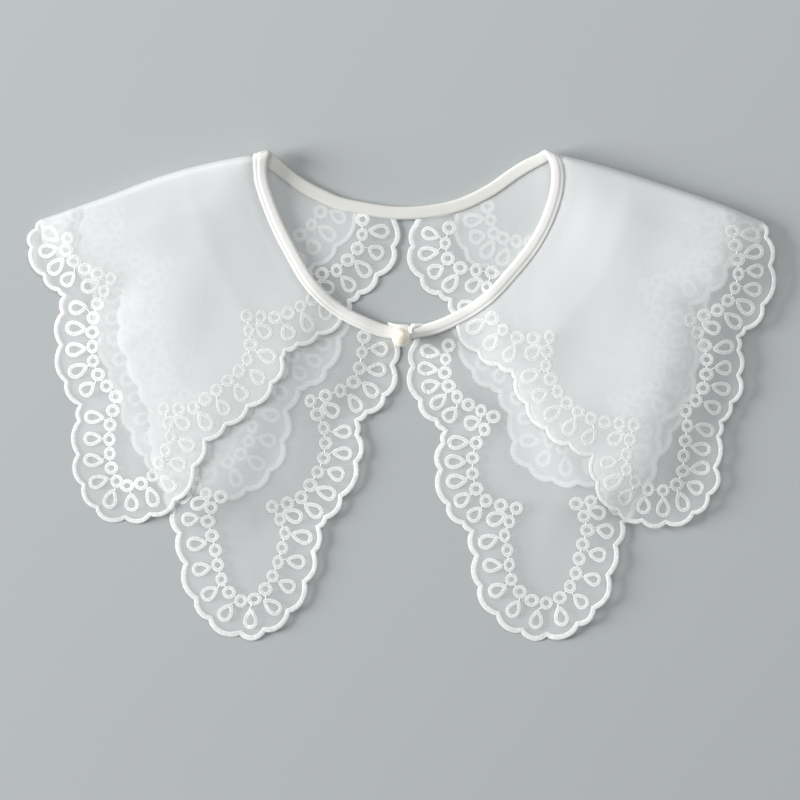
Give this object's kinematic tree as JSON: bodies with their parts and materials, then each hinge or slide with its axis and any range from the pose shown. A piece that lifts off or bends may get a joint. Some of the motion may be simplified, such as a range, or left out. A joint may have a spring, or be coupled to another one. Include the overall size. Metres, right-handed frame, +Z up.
{
  "type": "lace collar",
  "caption": "Sheer embroidered cape collar with scalloped tiers, laid flat and folded over at the shoulders, its bound neck closed at the front by a pearl button and a thread loop.",
  "frame": {"origin": "on the surface that the collar lies on, under the middle of its overall box", "axes": "+X to the right in the picture, +Y towards the back of the neck, +Z up from the surface"},
  "size_m": [0.3514, 0.2304, 0.0119],
  "materials": {
    "white_organza": "sheer crisp organza with white machine embroidery",
    "white_bias_binding": "matt folded bias strip",
    "cream_pearl": "pearl lustre",
    "white_thread": "twisted thread"
  },
  "bodies": {
    "root": {"upper_layer_left": "white_organza", "upper_layer_right": "white_organza", "under_layer_left": "white_organza", "under_layer_right": "white_organza", "neck_binding": "white_bias_binding", "pearl_button": "cream_pearl", "button_loop": "white_thread"}
  },
  "joints": []
}
